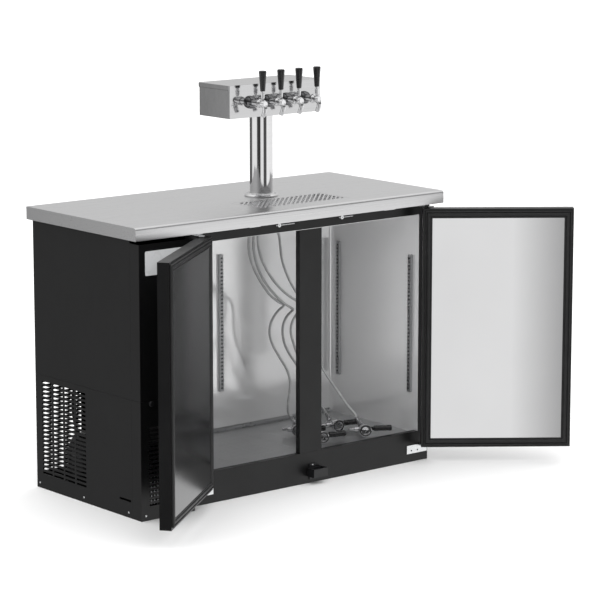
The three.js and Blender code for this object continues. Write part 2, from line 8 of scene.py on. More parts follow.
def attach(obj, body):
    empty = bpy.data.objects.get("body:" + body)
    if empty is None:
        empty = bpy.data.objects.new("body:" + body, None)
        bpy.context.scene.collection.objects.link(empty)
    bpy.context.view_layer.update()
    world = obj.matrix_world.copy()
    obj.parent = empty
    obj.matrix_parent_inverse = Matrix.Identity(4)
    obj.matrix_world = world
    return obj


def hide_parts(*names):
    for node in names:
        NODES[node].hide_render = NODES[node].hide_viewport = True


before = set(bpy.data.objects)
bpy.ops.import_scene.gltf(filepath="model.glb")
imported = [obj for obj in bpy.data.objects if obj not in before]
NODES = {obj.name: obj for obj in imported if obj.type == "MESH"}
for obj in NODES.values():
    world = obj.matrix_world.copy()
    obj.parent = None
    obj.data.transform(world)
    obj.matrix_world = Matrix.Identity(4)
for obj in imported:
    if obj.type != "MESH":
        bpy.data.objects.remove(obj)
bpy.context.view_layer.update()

# Lengths in the helpers below are millimetres; finished() turns them into metres.
MM = 0.001
TAPS = range(1, 5)

# ---------------------------------------------------------------- camera
CAMERA = {"place": (-5.391, -6.814, 2.202), "heading": 39.66, "down": 10.54, "lens": 161.36}


def add_camera():
    data = bpy.data.cameras.new("camera")
    data.lens = CAMERA["lens"]
    data.sensor_width = 36
    data.clip_end = 200
    camera = bpy.data.objects.new("camera", data)
    camera.location = CAMERA["place"]
    camera.rotation_euler = (math.radians(90 - CAMERA["down"]), 0, math.radians(-CAMERA["heading"]))
    bpy.context.scene.collection.objects.link(camera)
    bpy.context.scene.camera = camera


# ---------------------------------------------------------------- shape helpers
def put(bm, place, before):
    """Moves the vertices added since `before` by a matrix."""
    if place is not None:
        bmesh.ops.transform(bm, matrix=place, verts=bm.verts[before:])


def count(bm):
    bm.verts.ensure_lookup_table()
    return len(bm.verts)


def add_block(bm, low, high, place=None):
    before = count(bm)
    corners = [(x, y, z) for z in (low[2], high[2]) for y in (low[1], high[1]) for x in (low[0], high[0])]
    v = [bm.verts.new(c) for c in corners]
    for face in ((0, 2, 3, 1), (4, 5, 7, 6), (0, 1, 5, 4), (2, 6, 7, 3), (0, 4, 6, 2), (1, 3, 7, 5)):
        bm.faces.new([v[i] for i in face])
    bm.verts.ensure_lookup_table()
    put(bm, place, before)


def add_turned(bm, profile, steps=40, place=None):
    """A turned solid on Z from (radius, height) points; a closed profile gives a ring."""
    before = count(bm)
    ring = profile[0] == profile[-1]
    points = profile[:-1] if ring else profile
    rows = []
    for radius, height in points:
        if radius < 1e-6:
            rows.append([bm.verts.new((0, 0, height))])
            continue
        turns = [2 * math.pi * k / steps for k in range(steps)]
        rows.append([bm.verts.new((radius * math.cos(t), radius * math.sin(t), height)) for t in turns])
    pairs = list(zip(rows, rows[1:])) + ([(rows[-1], rows[0])] if ring else [])
    for a, b in pairs:
        for k in range(steps):
            n = (k + 1) % steps
            corners = [a[k % len(a)], a[n % len(a)], b[n % len(b)], b[k % len(b)]]
            unique = list(dict.fromkeys(corners))
            if len(unique) > 2:
                bm.faces.new(unique)
    bm.verts.ensure_lookup_table()
    put(bm, place, before)


def add_prism(bm, outline, low, high, place=None):
    before = count(bm)
    bottom = [bm.verts.new((x, y, low)) for x, y in outline]
    top = [bm.verts.new((x, y, high)) for x, y in outline]
    bm.faces.new(bottom[::-1])
    bm.faces.new(top)
    for k in range(len(outline)):
        n = (k + 1) % len(outline)
        bm.faces.new([bottom[k], bottom[n], top[n], top[k]])
    bm.verts.ensure_lookup_table()
    put(bm, place, before)


def add_tube(bm, points, radius, sides=16, place=None):
    """A capped tube along points; radius is one number, or one for each point."""
    before = count(bm)
    points = [Vector(p) for p in points]
    radii = radius if isinstance(radius, (list, tuple)) else [radius] * len(points)
    side = None
    rows = []
    for k, point in enumerate(points):
        ahead = (points[min(k + 1, len(points) - 1)] - points[max(k - 1, 0)]).normalized()
        if side is None:
            side = ahead.orthogonal().normalized()
        side = (side - ahead * side.dot(ahead)).normalized()
        other = ahead.cross(side)
        turns = [2 * math.pi * s / sides for s in range(sides)]
        rows.append([bm.verts.new(point + (side * math.cos(t) + other * math.sin(t)) * radii[k]) for t in turns])
    for a, b in zip(rows, rows[1:]):
        for s in range(sides):
            n = (s + 1) % sides
            bm.faces.new([a[s], a[n], b[n], b[s]])
    bm.faces.new(rows[0][::-1])
    bm.faces.new(rows[-1])
    bm.verts.ensure_lookup_table()
    put(bm, place, before)


def oblong(width, height, radius, steps=5):
    """Outline of a rectangle with round corners, centred on the origin."""
    points = []
    corners = [(1, 1, 0), (-1, 1, 90), (-1, -1, 180), (1, -1, 270)]
    for sx, sy, start in corners:
        cx, cy = sx * (width / 2 - radius), sy * (height / 2 - radius)
        for k in range(steps + 1):
            t = math.radians(start + 90 * k / steps)
            points.append((cx + radius * math.cos(t), cy + radius * math.sin(t)))
    return points


def at(x, y, z, *turns):
    """A placing matrix: a move to (x, y, z) after the turns, each an axis and an angle in degrees."""
    matrix = Matrix.Translation((x, y, z))
    for axis, angle in turns:
        matrix = matrix @ Matrix.Rotation(math.radians(angle), 4, axis)
    return matrix


FACING = {"-Y": ("X", 90), "+Y": ("X", -90), "-X": ("Y", -90), "+X": ("Y", 90)}


def facing(x, y, z, way):
    """A placing matrix that turns +Z to look along one of the horizontal axes."""
    return at(x, y, z, FACING[way])


def carved(bm, *cutters):
    """The first solid with the others cut out of it, by Blender's exact boolean."""
    objects = []
    for shape in (bm, *cutters):
        bmesh.ops.recalc_face_normals(shape, faces=shape.faces)
        mesh = bpy.data.meshes.new("carving")
        shape.to_mesh(mesh)
        shape.free()
        obj = bpy.data.objects.new("carving", mesh)
        bpy.context.scene.collection.objects.link(obj)
        objects.append(obj)
    for tool in objects[1:]:
        boolean = objects[0].modifiers.new("cut", "BOOLEAN")
        boolean.operation = "DIFFERENCE"
        boolean.solver = "EXACT"
        boolean.object = tool
    depsgraph = bpy.context.evaluated_depsgraph_get()
    result = bmesh.new()
    evaluated = objects[0].evaluated_get(depsgraph)
    result.from_mesh(evaluated.to_mesh())
    evaluated.to_mesh_clear()
    for obj in objects:
        mesh = obj.data
        bpy.data.objects.remove(obj)
        bpy.data.meshes.remove(mesh)
    return result


def finished(name, bm, material, body="cabinet", instead=(), bevel=0.0, segments=2, crease=35):
    """Turns a shape into a named piece in metres that rides on a body."""
    bmesh.ops.scale(bm, vec=(MM, MM, MM), verts=bm.verts)
    bmesh.ops.recalc_face_normals(bm, faces=bm.faces)
    mesh = bpy.data.meshes.new(name)
    bm.to_mesh(mesh)
    bm.free()
    mesh.shade_smooth()
    mesh.materials.append(material)
    obj = bpy.data.objects.new(name, mesh)
    bpy.context.scene.collection.objects.link(obj)
    if bevel:
        soft = obj.modifiers.new("edges", "BEVEL")
        soft.width = bevel * MM
        soft.segments = segments
        soft.limit_method = "ANGLE"
        soft.angle_limit = math.radians(crease)
        soft.harden_normals = True
    else:
        mesh.set_sharp_from_angle(angle=math.radians(crease))
    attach(obj, body)
    if instead:
        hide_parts(*instead)
    return obj


# ---------------------------------------------------------------- materials
def mapped(tree, stretch):
    coords = tree.nodes.new("ShaderNodeTexCoord")
    mapping = tree.nodes.new("ShaderNodeMapping")
    mapping.inputs["Scale"].default_value = stretch
    tree.links.new(coords.outputs["Object"], mapping.inputs["Vector"])
    return mapping.outputs["Vector"]


def noise(tree, stretch, detail=4.0, rough=0.6):
    texture = tree.nodes.new("ShaderNodeTexNoise")
    texture.inputs["Scale"].default_value = 1.0
    texture.inputs["Detail"].default_value = detail
    texture.inputs["Roughness"].default_value = rough
    tree.links.new(mapped(tree, stretch), texture.inputs["Vector"])
    return texture.outputs["Fac"]


def ranged(tree, value, low, high, from_low=0.3, from_high=0.7):
    node = tree.nodes.new("ShaderNodeMapRange")
    for name, number in (("From Min", from_low), ("From Max", from_high), ("To Min", low), ("To Max", high)):
        node.inputs[name].default_value = number
    tree.links.new(value, node.inputs["Value"])
    return node.outputs["Result"]


def bumped(tree, height, strength, distance, normal=None):
    node = tree.nodes.new("ShaderNodeBump")
    node.inputs["Strength"].default_value = strength
    node.inputs["Distance"].default_value = distance
    tree.links.new(height, node.inputs["Height"])
    if normal is not None:
        tree.links.new(normal, node.inputs["Normal"])
    return node.outputs["Normal"]


def make_material(
    name, colour, shade, roughness, metallic=0.0, tint=(8, 8, 8), wear=(30, 30, 30), bumps=(), **sockets
):
    """A procedural finish. tint and wear are the noise scales of its colour and roughness; each bump is
    (scale vector, strength, height in metres); sockets are further Principled inputs, uniform all over."""
    material = bpy.data.materials.new(name)
    material.use_nodes = True
    tree = material.node_tree
    shader = tree.nodes["Principled BSDF"]
    ramp = tree.nodes.new("ShaderNodeValToRGB")
    for stop, factor in zip(ramp.color_ramp.elements, (1 - shade, 1 + shade)):
        stop.color = [min(1.0, c * factor) for c in colour] + [1.0]
    ramp.color_ramp.elements[0].position = 0.3
    ramp.color_ramp.elements[1].position = 0.7
    tree.links.new(noise(tree, tint), ramp.inputs["Fac"])
    tree.links.new(ramp.outputs["Color"], shader.inputs["Base Color"])
    tree.links.new(ranged(tree, noise(tree, wear), *roughness), shader.inputs["Roughness"])
    shader.inputs["Metallic"].default_value = metallic
    normal = None
    for stretch, strength, height in bumps:
        normal = bumped(tree, noise(tree, stretch), strength, height, normal)
    if normal is not None:
        tree.links.new(normal, shader.inputs["Normal"])
    for socket, value in sockets.items():
        shader.inputs[socket.replace("_", " ").title().replace("Ior", "IOR")].default_value = value
    return material


PEEL = ((420, 420, 420), 0.25, 0.0002)  # orange peel of a powder coat
M = {
    "black": make_material(
        "powder_black", (0.0055, 0.0055, 0.0058), 0.12, (0.34, 0.42), tint=(5, 5, 5), wear=(14, 14, 14),
        bumps=(PEEL,), specular_ior_level=0.36
    ),
    "door_black": make_material(
        "door_black", (0.0055, 0.0055, 0.0058), 0.12, (0.28, 0.36), tint=(5, 5, 5), wear=(12, 12, 12),
        bumps=(PEEL,), specular_ior_level=0.36
    ),
    "brushed_x": make_material(
        "brushed_along_x", (0.72, 0.72, 0.725), 0.05, (0.26, 0.34), 1.0, tint=(3, 420, 420), wear=(4, 500,
            500),
        bumps=(((5, 1400, 1400), 0.12, 0.0001), ((1.6, 2.2, 2), 0.10, 0.004)),
    ),
    "head_steel": make_material(
        "head_steel", (0.58, 0.58, 0.585), 0.03, (0.07, 0.11), 1.0, tint=(3, 300, 300), wear=(4, 300, 300),
        bumps=(((9, 9, 9), 0.08, 0.002),),
    ),
    "polished": make_material(
        "polished_steel", (0.74, 0.74, 0.745), 0.03, (0.06, 0.10), 1.0, tint=(10, 10, 60), wear=(40, 40, 8)
    ),
    "chrome": make_material(
        "chrome_plate", (0.78, 0.78, 0.79), 0.03, (0.05, 0.09), 1.0, tint=(30, 30, 30), wear=(90, 90, 90)
    ),
    "liner": make_material(
        "liner_sheet", (0.88, 0.88, 0.885), 0.02, (0.11, 0.17), 0.5, tint=(2, 2, 2), wear=(4, 4, 20),
        bumps=(((2.4, 2.4, 3.6), 0.10, 0.010), ((9, 9, 3), 0.03, 0.002)),
    ),
    "floor_sheet": make_material(
        "floor_sheet", (0.52, 0.525, 0.53), 0.04, (0.30, 0.38), 1.0, tint=(3, 3, 3), wear=(8, 40, 8),
        bumps=(((3, 2, 3), 0.06, 0.004),),
    ),
    "door_liner": make_material(
        "door_liner_sheet_painted_shade", (0.76, 0.76, 0.765), 0.01, (0.16, 0.20), 1.0, tint=(2, 2, 2), wear=(3, 3, 3),
        bumps=(((1.2, 1.2, 0.9), 0.03, 0.006),),
    ),
    # Painted shade: the left door's liner is the same sheet as the right door's, coloured far darker to stand in
    # for the dark reflections on it.
    "left_door_liner": make_material(
        "left_door_sheet_painted_shade", (0.15, 0.15, 0.153), 0.03, (0.14, 0.18), 1.0, tint=(2, 2, 2), wear=(3, 3, 3),
        bumps=(((1.2, 1.2, 0.9), 0.04, 0.006),),
    ),
    # Painted shade: the coupler chrome is coloured darker than the tap chrome to stand in for the dark
    # reflections on it.
    "coupler": make_material(
        "coupler_chrome_painted_shade", (0.60, 0.60, 0.61), 0.06, (0.05, 0.09), 1.0, tint=(60, 60, 60), wear=(90, 90, 90)
    ),
    "strip": make_material(
        "strip_steel", (0.34, 0.345, 0.35), 0.06, (0.25, 0.36), 1.0, tint=(40, 40, 8), wear=(60, 60, 10)
    ),
    "zinc": make_material(
        "bright_zinc", (0.76, 0.77, 0.78), 0.06, (0.18, 0.30), 1.0, tint=(120, 120, 120), wear=(200, 200, 200)
    ),
    "rubber": make_material(
        "gasket_vinyl", (0.013, 0.013, 0.0135), 0.15, (0.42, 0.55), tint=(20, 20, 20), wear=(50, 50, 50),
        bumps=(((300, 300, 300), 0.15, 0.0002),),
    ),
    "plastic": make_material(
        "black_plastic", (0.010, 0.010, 0.011), 0.12, (0.30, 0.42), tint=(25, 25, 25), wear=(60, 60, 60),
        bumps=(((700, 700, 700), 0.2, 0.0001),),
    ),
    "grip": make_material(
        "grip_black", (0.006, 0.006, 0.0065), 0.12, (0.22, 0.30), tint=(30, 30, 30), wear=(80, 80, 80),
            coat_weight=0.3
    ),
    "hose": make_material(
        "beer_tubing", (0.36, 0.365, 0.365), 0.06, (0.20, 0.30), tint=(30, 30, 30), wear=(60, 60, 60),
        coat_weight=0.4,
    ),
    "enamel": make_material(
        "compressor_enamel", (0.012, 0.012, 0.013), 0.15, (0.20, 0.32), tint=(20, 20, 20), wear=(40, 40, 40),
        bumps=(((60, 60, 60), 0.1, 0.0004),),
    ),
    "fins": make_material(
        "fin_aluminium", (0.55, 0.56, 0.57), 0.08, (0.30, 0.45), 1.0, tint=(60, 60, 10), wear=(90, 90, 20)
    ),
    # The refrigerant pipes are coloured near black in place of copper.
    "pipe": make_material(
        "near_black_pipe", (0.012, 0.012, 0.013), 0.12, (0.25, 0.40), 0.0, tint=(40, 40, 40), wear=(80, 80, 80)
    ),
    "collar": make_material(
        "dark_chrome", (0.16, 0.16, 0.165), 0.06, (0.05, 0.09), 1.0, tint=(60, 60, 60), wear=(90, 90, 90)
    ),
    "tray": make_material(
        "tray_steel", (0.82, 0.82, 0.825), 0.04, (0.48, 0.58), 0.5, tint=(60, 60, 60), wear=(90, 90, 90)
    ),
    "plate": make_material(
        "pale_plate", (0.74, 0.75, 0.76), 0.03, (0.25, 0.33), tint=(20, 20, 20), wear=(40, 40, 40),
            coat_weight=0.3
    ),
}


def paint_shade_gradient(material, axis, start, end, level):
    """Paints shade into a finish, darker towards one side: full at start metres along the axis, level times as
    bright at end.
    """
    tree = material.node_tree
    shader = tree.nodes["Principled BSDF"]
    base = shader.inputs["Base Color"].links[0].from_socket
    coords = tree.nodes.new("ShaderNodeTexCoord")
    split = tree.nodes.new("ShaderNodeSeparateXYZ")
    tree.links.new(coords.outputs["Object"], split.inputs["Vector"])
    share = ranged(tree, split.outputs[axis], 1.0, level, start, end)
    mix = tree.nodes.new("ShaderNodeVectorMath")
    mix.operation = "SCALE"
    tree.links.new(base, mix.inputs[0])
    tree.links.new(share, mix.inputs["Scale"])
    tree.links.new(mix.outputs["Vector"], shader.inputs["Base Color"])


# Painted shade: the right door's liner is darkened along X towards its free edge.
paint_shade_gradient(M["door_liner"], "X", 0.78, 0.945, 0.42)


# ---------------------------------------------------------------- beer lines
HOSE_RADIUS = 4.2
LINES = [
    [(70, 19, 878), (69, 20, 840), (63, 26, 795), (62, 29, 750), (70, 28, 708), (85, 20, 664), (106, 9, 621),
     (131, 0, 585), (160, -3, 563), (188, 6, 549), (208, 27, 537), (213, 54, 520), (206, 74, 495), (196, 82,
         465),
     (191, 79, 433), (197, 69, 397), (213, 52, 355), (229, 36, 317), (237, 27, 275), (234, 27, 235), (230,
         29, 198)],
    [(81, 10, 878), (80, 11, 840), (73, 17, 790), (74, 18, 747), (82, 16, 704), (97, 10, 659), (120, 0, 617),
     (148, -9, 582), (180, -13, 554), (210, -8, 537), (234, 8, 525), (245, 33, 511), (246, 56, 492), (241,
         68, 462),
     (240, 70, 430), (245, 66, 398), (256, 59, 368), (275, 48, 333), (299, 35, 288), (324, 20, 240), (345,
         8, 198)],
    [(91, 1, 878), (90, 2, 840), (83, 6, 790), (85, 4, 746), (95, -4, 702), (116, -17, 656), (144, -34, 613),
     (175, -47, 584), (206, -52, 564), (234, -46, 549), (252, -28, 535), (256, -4, 520), (251, 15, 500),
     (243, 26, 472), (240, 26, 440), (241, 14, 408), (241, -8, 368), (235, -34, 320), (226, -60, 270),
     (213, -84, 225), (202, -97, 192)],
    [(115, -17, 878), (117, -18, 840), (139, -34, 792), (143, -37, 755), (148, -38, 714), (159, -44, 671),
     (177, -51, 629), (200, -58, 590), (225, -62, 560), (248, -61, 534), (266, -55, 505), (276, -49, 475),
     (281, -46, 442), (287, -46, 403), (296, -49, 361), (312, -57, 320), (335, -70, 278), (361, -87, 231),
     (381, -99, 196)],
]
# Each coupler lies on its ring: where the ring's middle is, and the way its face looks, in degrees about Z.
COUPLERS = [(222, -34, 235), (373, -67, 255), (221, -167, 255), (395, -180, 240)]
COUPLER = {"ring": 22, "length": 74, "tail_y": 62, "lean": 30, "tail": 42, "pivot": (11, 34)}
COUPLER_Z = 117.3


def coupler_place(i):
    x, y, face = COUPLERS[i - 1]
    return at(x, y, COUPLER_Z, ("Z", face + 90))


def tail_ends(i):
    """Two points on a coupler's tail: just past its open end, and the open end."""
    lean = math.radians(COUPLER["lean"])
    along = Vector((-math.sin(lean), 0, math.cos(lean)))
    base = Vector((0, COUPLER["tail_y"], 0))
    return [coupler_place(i) @ (base + along * reach) for reach in (COUPLER["tail"] + 14, COUPLER["tail"])]


def smooth_route(points, steps=8):
    """Points of the centripetal Catmull-Rom curve through the route."""
    points = [Vector(p) for p in points]
    ends = [points[0] * 2 - points[1], *points, points[-1] * 2 - points[-2]]
    route = []
    for k in range(len(points) - 1):
        p0, p1, p2, p3 = ends[k : k + 4]
        d0, d1, d2 = ((b - a).length ** 0.5 for a, b in ((p0, p1), (p1, p2), (p2, p3)))
        t1 = ((p1 - p0) / d0 - (p2 - p0) / (d0 + d1) + (p2 - p1) / d1) * d1
        t2 = ((p2 - p1) / d1 - (p3 - p1) / (d1 + d2) + (p3 - p2) / d2) * d1
        c2 = (p2 - p1) * 3 - t1 * 2 - t2
        c3 = (p1 - p2) * 2 + t1 + t2
        for step in range(steps):
            t = step / steps
            route.append(p1 + t1 * t + c2 * t * t + c3 * t**3)
    return [*route, points[-1]]


def add_hose(i, with_pieces):
    route = smooth_route([*LINES[i - 1], *tail_ends(i)])
    curve = bpy.data.curves.new(f"beer_hose_{i}", "CURVE")
    curve.dimensions = "3D"
    curve.bevel_depth = HOSE_RADIUS * MM
    curve.bevel_resolution = 6
    curve.use_fill_caps = True
    spline = curve.splines.new("POLY")
    spline.points.add(len(route) - 1)
    for point, place in zip(spline.points, route):
        point.co = (*(place * MM), 1)
    spline.use_smooth = True
    curve.materials.append(M["hose"])
    hose = bpy.data.objects.new(f"beer_hose_{i}", curve)
    bpy.context.scene.collection.objects.link(hose)
    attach(hose, "cabinet")
    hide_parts(f"beer_line_{i}")


# ---------------------------------------------------------------- keg couplers
def add_coupler(i):
    place = coupler_place(i)
    barrel = bmesh.new()
    profile = [(0, 8), (4, 8), (4.5, 3), (8, 3), (8.5, 6), (11.5, 6), (12.5, 1), (15, 0), (19.5, 0), (21.5,
        1),
               (22, 3), (22, 8), (20.5, 10), (17, 12), (15.4, 15), (15, 22), (17, 24), (17, 28), (15.5, 30),
               (16, 54), (14.5, 58), (12, 60), (12, 68), (10.5, 71), (10, 74), (0, 74)]
    add_turned(barrel, profile, 48, place @ at(0, 0, 0, ("X", -90)))
    lug = [(-9, -20), (9, -20), (6, -24), (-6, -24)]
    for turn in (45, 225):
        add_prism(barrel, [(x, -y) for x, y in lug][::-1], 1, 8, place @ at(0, 0, 0, ("X", -90), ("Z",
            turn)) @ at(0, -3.2, 0))
    _, pivot_y = COUPLER["pivot"]
    lip = bmesh.new()
    add_block(lip, (2, pivot_y - 16, -7), (30, pivot_y + 16, 7), place)
    body = finished(
        f"coupler_barrel_{i}", carved(barrel, lip), M["coupler"], instead=[f"coupler_{i}"],
            bevel=0.5
    )
    seal = bmesh.new()
    add_turned(seal, [(15.6, -0.3), (19.2, -0.3), (19.2, 0.8), (15.6, 0.8), (15.6, -0.3)], 40,
               place @ at(0, 0, 0, ("X", -90)))
    washer = finished(f"coupler_seal_{i}", seal, M["rubber"], bevel=0.2)
    stub = bmesh.new()
    barbs = [(0, -52), (4.2, -52), (5.6, -49), (6, -46.5), (4.4, -46), (5.6, -42), (6, -40), (4.4, -39.5),
             (4.4, -35), (8.8, -34), (9.4, -32), (9.4, -19), (8.6, -18), (8.6, -12), (0, -12)]
    add_turned(stub, barbs, 32, place @ at(0, 30, 0, ("Y", 90)))
    gas = finished(f"coupler_gas_stub_{i}", stub, M["coupler"])
    tail = bmesh.new()
    tail_profile = [(0, 0), (7.6, 0), (7.6, 8), (7, 9), (7, 21), (6.3, 22.5), (6.3, 41.2), (5.4, 41.6), (0,
        41.6)]
    tail_place = place @ at(0, COUPLER["tail_y"], 0, ("Y", -COUPLER["lean"]))
    add_turned(tail, tail_profile, 32, tail_place)
    hexagon = [(9.2 * math.cos(math.radians(60 * k)), 9.2 * math.sin(math.radians(60 * k))) for k in range(6)]
    add_prism(tail, hexagon, 10, 20, tail_place)
    spout = finished(f"coupler_tail_{i}", tail, M["coupler"], bevel=0.3)
    return [body, washer, gas, spout, add_coupler_lever(i, place)]


def add_coupler_lever(i, place):
    x, y = COUPLER["pivot"]
    lever = bmesh.new()
    add_prism(lever, oblong(34, 8, 3.5), -5.4, 5.4, place @ at(x + 9, y, 0))
    grip = [(0, 22), (6.5, 22), (8, 24), (9.6, 27)]
    for k in range(6):
        start = 29 + 7 * k
        grip += [(9.6, start), (8.8, start + 1.4), (8.8, start + 2.4), (9.6, start + 3.8)]
    grip += [(9.4, 72), (10.2, 76), (10.4, 80), (9, 84), (6, 85), (0, 85)]
    add_turned(lever, grip, 32, place @ at(x, y, 0, ("Y", 90)))
    return finished(
        f"coupler_grip_{i}", lever, M["grip"], f"keg_lever_{i}", [f"coupler_lever_{i}"],
            crease=40
    )


# ---------------------------------------------------------------- small fittings
RAIL = Matrix(((0, 0, 1, 0), (1, 0, 0, 0), (0, 1, 0, 0), (0, 0, 0, 1)))  # a (y, z) outline run along X
SCREW = [(0, -0.4), (3.6, -0.4), (3.6, 0.3), (2.9, 1.2), (1.5, 1.5), (1.3, 0.6), (0, 0.6)]


def add_screws(name, places, body="cabinet", material="zinc"):
    bm = bmesh.new()
    for place in places:
        add_turned(bm, SCREW, 24, place)
    return finished(name, bm, M[material], body)


def add_mitred(bm, xs, zs, profile, place):
    """A picture frame: a closed (inset, depth) section mitred round the rectangle xs by zs."""
    rings = []
    for sx, sz in ((0, 0), (1, 0), (1, 1), (0, 1)):
        row = []
        for inset, depth in profile:
            x = xs[1] - inset if sx else xs[0] + inset
            z = zs[1] - inset if sz else zs[0] + inset
            row.append(bm.verts.new(place @ Vector((x, depth, z))))
        rings.append(row)
    for k in range(4):
        a, b = rings[k], rings[(k + 1) % 4]
        for n in range(len(profile)):
            m = (n + 1) % len(profile)
            bm.faces.new([a[n], a[m], b[m], b[n]])


# ---------------------------------------------------------------- worktop, tray and grate
TOP = {"half": 635, "deep": 295, "under": 882, "level": 924, "nose": 9}
TRAY = {"left": -90, "right": 285, "front": -225, "back": -72, "depth": 26}
GRATE = {"edge": 1.8, "thick": 2.2, "border": 10, "pitch": 19, "radius": 4, "slant": 44}


def add_worktop():
    nose = TOP["nose"]
    outline = [(TOP["deep"], TOP["under"]), (TOP["deep"], TOP["level"])]
    for k in range(9):
        turn = math.radians(90 * k / 8)
        outline.append((-TOP["deep"] + nose - nose * math.sin(turn),
            TOP["level"] - nose + nose * math.cos(turn)))
    outline.append((-TOP["deep"], TOP["under"]))
    slab = bmesh.new()
    add_prism(slab, outline, -TOP["half"], TOP["half"], RAIL)
    well = bmesh.new()
    add_block(well, (TRAY["left"], TRAY["front"], TOP["level"] - TRAY["depth"]), (TRAY["right"],
        TRAY["back"], 940))
    hole = bmesh.new()
    add_turned(hole, [(0, 870), (35, 870), (35, 940), (0, 940)], 48, at(93, 0, 0))
    finished("worktop_slab", carved(slab, well, hole), M["brushed_x"], instead=["worktop"],
        bevel=0.8)


def grate_slots():
    """The two ends of each slot's centre line."""
    border, radius = GRATE["border"], GRATE["radius"]
    x0, x1 = TRAY["left"] + border, TRAY["right"] - border
    y0, y1 = TRAY["front"] + border, TRAY["back"] - border
    lean = math.tan(math.radians(GRATE["slant"]))
    slots = []
    start = x0 - (y1 - y0) * lean + GRATE["pitch"] / 2
    while start < x1:
        low = max(y0 + radius, y0 + (x0 + radius + 1 - start) / lean)
        high = min(y1 - radius, y0 + (x1 - radius - 1 - start) / lean)
        if high - low > 6:
            slots.append(((start + (low - y0) * lean, low), (start + (high - y0) * lean, high)))
        start += GRATE["pitch"]
    return slots


def add_grate():
    edge, top = GRATE["edge"], TOP["level"] - 0.3
    plate = bmesh.new()
    add_block(
        plate, (TRAY["left"] + edge, TRAY["front"] + edge, top - GRATE["thick"]),
        (TRAY["right"] - edge, TRAY["back"] - edge, top),
    )
    cutter = bmesh.new()
    for (ax, ay), (bx, by) in grate_slots():
        length = math.hypot(bx - ax, by - ay)
        turn = math.degrees(math.atan2(by - ay, bx - ax))
        capsule = oblong(length + 2 * GRATE["radius"], 2 * GRATE["radius"], GRATE["radius"] - 0.01, 6)
        add_prism(cutter, capsule, -10, 10, at((ax + bx) / 2, (ay + by) / 2, top, ("Z", turn)))
    finished(
        "grate_plate", carved(plate, cutter), M["brushed_x"], "grate", ["drip_grate"],
            bevel=0.35,
        segments=1,
    )


# ---------------------------------------------------------------- beer tower
TOWER = {"x": 93, "left": -102, "right": 277, "half": 81, "bottom": 1196.5, "top": 1304}
TAP = {"first": -17.5, "pitch": 75.2, "z": 1246, "y": -146, "pivot": 19}


def add_tower():
    column = bmesh.new()
    profile = [(35, 924.3), (56, 924.3), (56, 927.6), (55.2, 928.3), (51.5, 931.4), (50, 932.2), (41.6, 933),
               (39.2, 934.4), (38, 937.3), (38, 938), (38, 1195.6), (38, 1196.2), (35, 1196.2), (35, 924.3)]
    add_turned(column, profile, 96, at(TOWER["x"], 0, 0))
    finished("column_tube", column, M["polished"], instead=["tower_column"])
    turns = [math.radians(45 + 90 * k) for k in range(4)]
    add_screws("flange_screws", [
        at(TOWER["x"] + 46 * math.cos(t), 46 * math.sin(t), 932.6) for t in turns
    ])
    left, right, half, top = TOWER["left"], TOWER["right"], TOWER["half"], TOWER["top"]
    box = bmesh.new()
    add_block(box, (left + 2, 3.2 - half, TOWER["bottom"]), (right - 2, half - 2, top - 2))
    finished("head_box", box, M["head_steel"], instead=["tower_head"], bevel=1.0)
    front = bmesh.new()
    add_block(front, (left + 1, -half, TOWER["bottom"]), (right - 1, 3 - half, top))
    finished("head_front", front, M["head_steel"], bevel=0.6)
    lid = bmesh.new()
    add_block(lid, (left, 3.2 - half, top - 16), (right, half, top))
    finished("head_lid", lid, M["head_steel"], bevel=1.4, segments=3)
    add_screws("head_screws", [facing(x, -half, 1240, "-Y") for x in (left + 12, right - 12)])


